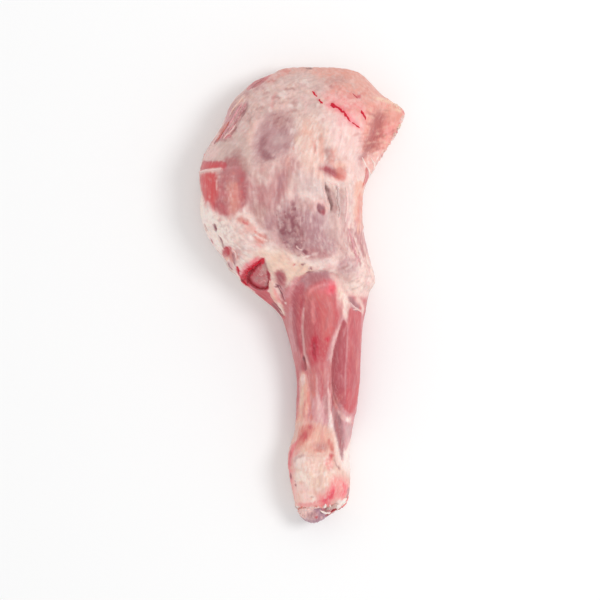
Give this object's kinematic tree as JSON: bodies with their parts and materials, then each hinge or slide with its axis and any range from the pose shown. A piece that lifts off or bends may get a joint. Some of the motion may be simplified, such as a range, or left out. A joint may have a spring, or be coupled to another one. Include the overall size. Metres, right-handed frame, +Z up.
{
  "type": "frozen leg of suckling lamb",
  "caption": "Whole raw leg of suckling lamb with its thin fat cover, trimmed at the thigh, and the shank bone's cartilage end showing at the knuckle.",
  "frame": {"origin": "under the middle of the bounding box, on the plane that the leg lies on", "axes": "+Y along the leg from the knuckle to the top of the thigh, +Z up, with the leg lying on its inner side, +X towards the loose flap at the thigh"},
  "size_m": [0.144, 0.3196, 0.0649],
  "materials": {
    "flesh": "moist raw muscle under a thin cream fat cover and membrane, satin",
    "bone": "moist violet-grey joint cartilage, satin"
  },
  "bodies": {
    "root": {"leg_flesh": "flesh", "shank_bone": "bone"}
  },
  "joints": []
}
